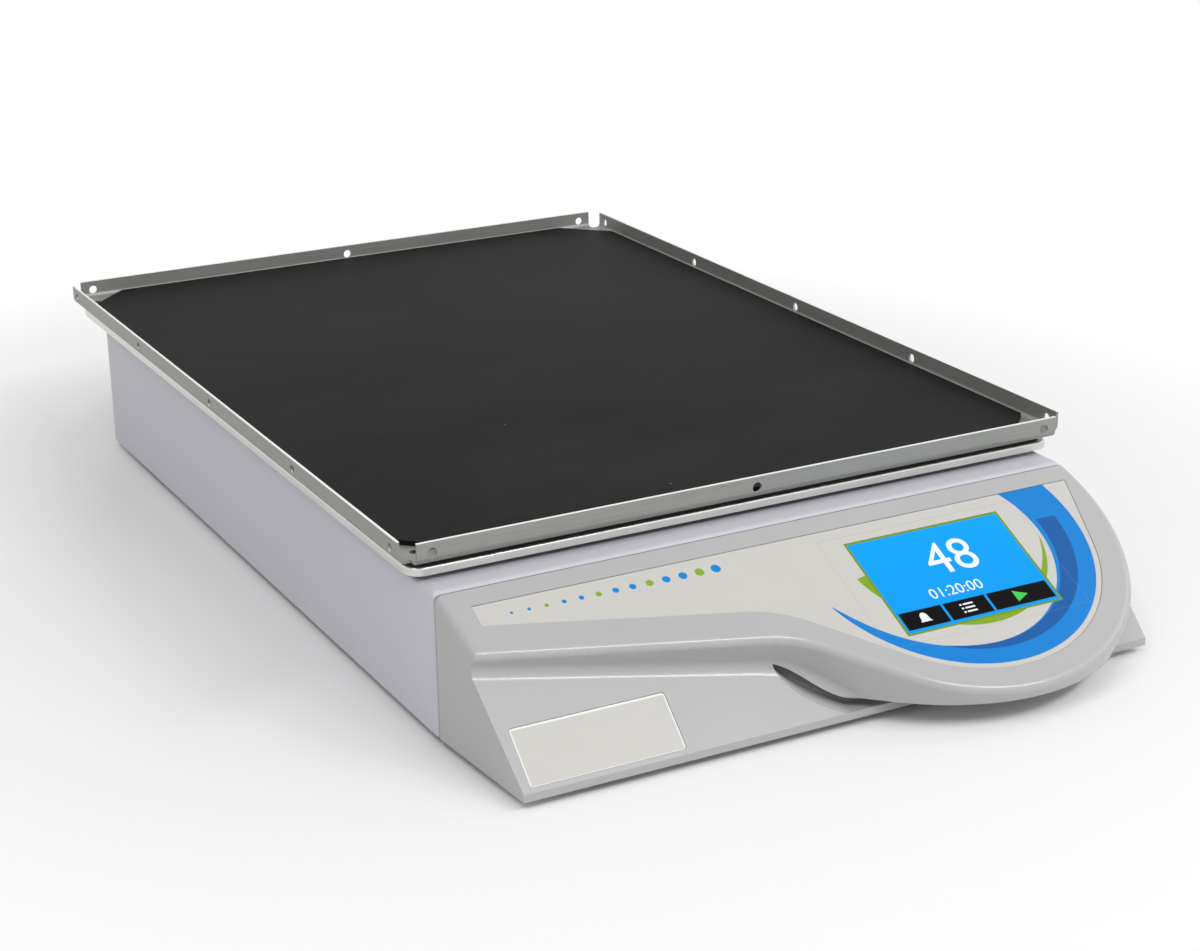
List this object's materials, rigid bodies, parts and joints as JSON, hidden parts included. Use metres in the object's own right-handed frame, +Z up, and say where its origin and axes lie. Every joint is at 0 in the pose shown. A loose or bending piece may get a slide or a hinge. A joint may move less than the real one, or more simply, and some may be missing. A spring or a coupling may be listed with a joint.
{
  "type": "orbital shaker",
  "caption": "Large benchtop orbital shaker with a flanged steel platform, non-slip mat and a sloping moulded console with a round touch-screen lobe.",
  "frame": {"origin": "On the bench, under the middle of the whole machine", "axes": "+X to the right of someone at the console, +Y to the back of the machine, +Z up"},
  "size_m": [0.44, 0.7604, 0.1147],
  "materials": {
    "housing_paint": "fine powder coat",
    "console_plastic": "satin moulded",
    "overlay_film": "printed film",
    "screen": "lit display under clear cover",
    "stainless": "bright brushed",
    "mat_rubber": "fine texture",
    "black_foam": "matt",
    "plain_steel": "turned",
    "bright_steel": "ground",
    "dark_steel": "black oxide",
    "aluminium": "machined",
    "zinc_sheet": "zinc plated",
    "black_plastic": "moulded",
    "belt_rubber": "ribbed",
    "board_green": "solder mask",
    "nickel": "plated contacts"
  },
  "bodies": {
    "base": {"base_pan": "zinc_sheet", "housing_cover": "housing_paint", "feet": "black_plastic", "foot_screws": "plain_steel", "cover_screws": "plain_steel", "front_console": "console_plastic", "control_overlay": "overlay_film", "touch_screen": "screen", "screen_frame": "zinc_sheet", "board_standoffs": "bright_steel", "control_board": "board_green", "badge_plate": "overlay_film", "console_screws": "plain_steel", "power_supply": "zinc_sheet", "motor": "aluminium", "motor_bracket": "plain_steel", "motor_bracket_screws": "dark_steel", "drive_belt": "belt_rubber", "drive_bearing_housing": "aluminium", "drive_bearings": "bright_steel", "idler_bearing_housings": "aluminium", "idler_bearings": "bright_steel", "bearing_housing_screws": "dark_steel", "power_inlet": "black_plastic", "inlet_pins": "nickel", "inlet_screws": "plain_steel", "switch_frame": "black_plastic"},
    "motor_rotor": {"motor_shaft": "bright_steel", "motor_pulley": "aluminium"},
    "drive": {"drive_crank": "plain_steel", "drive_pulley": "aluminium", "counterweight": "dark_steel"},
    "platform": {"drive_hub": "aluminium", "drive_hub_bearing": "bright_steel", "idler_hubs": "aluminium", "idler_hub_bearings": "bright_steel", "hub_screws": "dark_steel", "carrier_plate": "aluminium", "spacer_pad": "black_foam", "tray": "stainless", "tray_screws": "dark_steel", "rubber_mat": "mat_rubber"},
    "idler_front_left": {"front_left_idler_crank": "plain_steel"},
    "idler_front_right": {"front_right_idler_crank": "plain_steel"},
    "idler_back_left": {"back_left_idler_crank": "plain_steel"},
    "idler_back_right": {"back_right_idler_crank": "plain_steel"},
    "fuse_holder": {"fuse_drawer": "black_plastic"},
    "power_switch": {"switch_rocker": "black_plastic"}
  },
  "joints": [
    {"name": "drive_spin", "type": "hinge", "parent": "base", "child": "drive", "pos_m": [0, 0.0837, 0.059], "axis": [0, 0, 1], "continuous": true},
    {"name": "platform_pin", "type": "hinge", "parent": "drive", "child": "platform", "pos_m": [0, 0.0742, 0.076], "axis": [0, 0, 1], "continuous": true},
    {"name": "motor_spin", "type": "hinge", "parent": "base", "child": "motor_rotor", "pos_m": [0, -0.0908, 0.0425], "axis": [0, 0, 1], "continuous": true},
    {"name": "idler_spin_front_left", "type": "hinge", "parent": "base", "child": "idler_front_left", "pos_m": [-0.15, -0.1113, 0.059], "axis": [0, 0, 1], "continuous": true},
    {"name": "idler_spin_front_right", "type": "hinge", "parent": "base", "child": "idler_front_right", "pos_m": [0.15, -0.1113, 0.059], "axis": [0, 0, 1], "continuous": true},
    {"name": "idler_spin_back_left", "type": "hinge", "parent": "base", "child": "idler_back_left", "pos_m": [-0.15, 0.2787, 0.059], "axis": [0, 0, 1], "continuous": true},
    {"name": "idler_spin_back_right", "type": "hinge", "parent": "base", "child": "idler_back_right", "pos_m": [0.15, 0.2787, 0.059], "axis": [0, 0, 1], "continuous": true},
    {"name": "fuse_slide", "type": "slide", "parent": "base", "child": "fuse_holder", "axis": [0, 1, 0], "range_m": [0, 0.012]},
    {"name": "power_rocker", "type": "hinge", "parent": "base", "child": "power_switch", "pos_m": [0.036, 0.3332, 0.044], "axis": [1, 0, 0], "range_deg": [-14, 0]}
  ],
  "couplings": [
    {"joint": "platform_pin", "follows": "drive_spin", "ratio": -1},
    {"joint": "motor_spin", "follows": "drive_spin", "ratio": 4},
    {"joint": "idler_spin_front_left", "follows": "drive_spin", "ratio": 1},
    {"joint": "idler_spin_front_right", "follows": "drive_spin", "ratio": 1},
    {"joint": "idler_spin_back_left", "follows": "drive_spin", "ratio": 1},
    {"joint": "idler_spin_back_right", "follows": "drive_spin", "ratio": 1}
  ]
}
